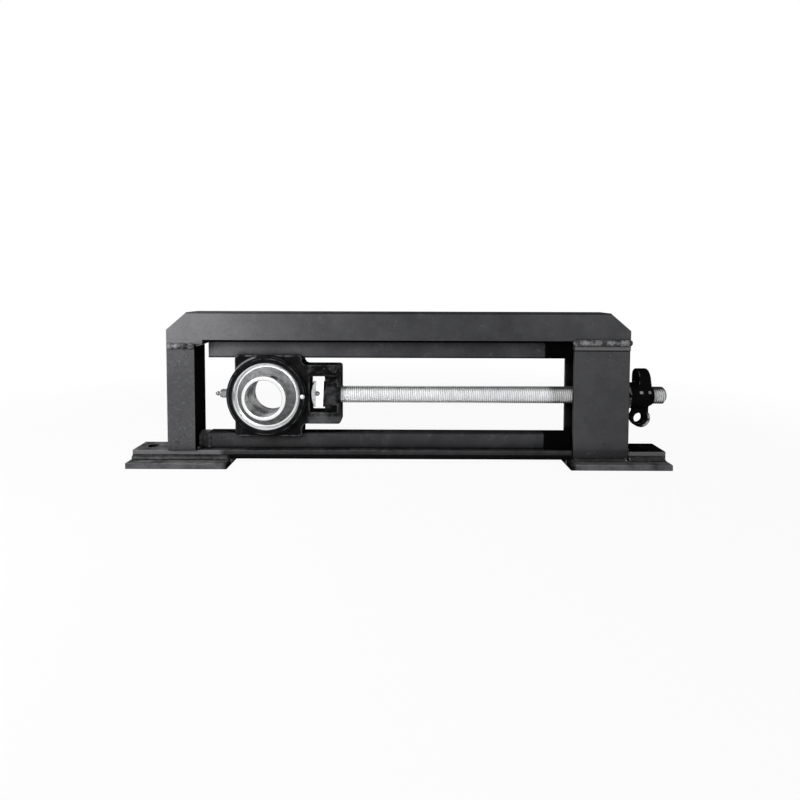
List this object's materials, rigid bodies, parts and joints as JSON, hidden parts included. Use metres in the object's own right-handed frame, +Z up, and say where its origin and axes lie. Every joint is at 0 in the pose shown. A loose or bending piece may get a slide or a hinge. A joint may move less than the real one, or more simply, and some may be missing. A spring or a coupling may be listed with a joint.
{
  "type": "take up bearing unit",
  "caption": "Welded steel take up frame in which a grooved housing with an insert ball bearing slides between guide rails, drawn along by an adjusting screw and nut.",
  "frame": {"origin": "midway between the two foot bolts, on the floor plane under the foot pads", "axes": "+X along the adjusting screw towards its nut, +Y along the shaft bore away from the front, +Z up"},
  "size_m": [0.741, 0.077, 0.211],
  "materials": {
    "frame_paint": "semi-gloss paint",
    "weld_paint": "painted weld",
    "cast_paint": "gloss paint on casting",
    "nut_black": "black oxide",
    "bearing_steel": "ground",
    "pressed_steel": "pressed",
    "seal_rubber": "moulded",
    "zinc_plate": "bright zinc plate",
    "spring_steel": "blackened"
  },
  "bodies": {
    "frame": {"left_foot_pad": "frame_paint", "right_foot_pad": "frame_paint", "base_bar": "frame_paint", "right_toe_plate": "frame_paint", "lower_rail": "frame_paint", "upper_rail": "frame_paint", "top_angle": "frame_paint", "left_post": "frame_paint", "right_post": "frame_paint", "left_cap_plate": "frame_paint", "right_cap_plate": "frame_paint", "weld_beads": "weld_paint", "thrust_washer": "nut_black"},
    "carriage": {"housing": "cast_paint", "adjusting_screw": "zinc_plate", "slot_nut": "zinc_plate", "lock_pin": "spring_steel", "grease_nipple": "zinc_plate", "locating_pin": "zinc_plate"},
    "nut": {"adjusting_nut": "nut_black"},
    "insert": {"outer_ring": "bearing_steel", "front_seal": "seal_rubber", "rear_seal": "seal_rubber"},
    "inner": {"inner_ring": "bearing_steel", "set_screws": "bearing_steel", "front_flinger": "pressed_steel", "rear_flinger": "pressed_steel"},
    "ball_cage": {"cage": "pressed_steel", "balls": "bearing_steel"}
  },
  "joints": [
    {"name": "nut_turn", "type": "hinge", "parent": "frame", "child": "nut", "pos_m": [0.3373, 0, 0.09475], "axis": [-1, 0, 0], "range_deg": [-2420, 37900]},
    {"name": "carriage_slide", "type": "slide", "parent": "frame", "child": "carriage", "axis": [1, 0, 0], "range_m": [-0.02, 0.315]},
    {"name": "insert_swivel", "type": "hinge", "parent": "carriage", "child": "insert", "pos_m": [-0.183, 0, 0.09475], "axis": [0, 0, 1], "range_deg": [-2, 2]},
    {"name": "inner_ring_turn", "type": "hinge", "parent": "insert", "child": "inner", "pos_m": [-0.183, 0, 0.09475], "axis": [0, 1, 0], "continuous": true},
    {"name": "cage_turn", "type": "hinge", "parent": "insert", "child": "ball_cage", "pos_m": [-0.183, 0, 0.09475], "axis": [0, 1, 0], "continuous": true}
  ],
  "couplings": [
    {"joint": "nut_turn", "follows": "carriage_slide", "rad_per_m": 2094.4},
    {"joint": "cage_turn", "follows": "inner_ring_turn", "ratio": 0.4094}
  ]
}
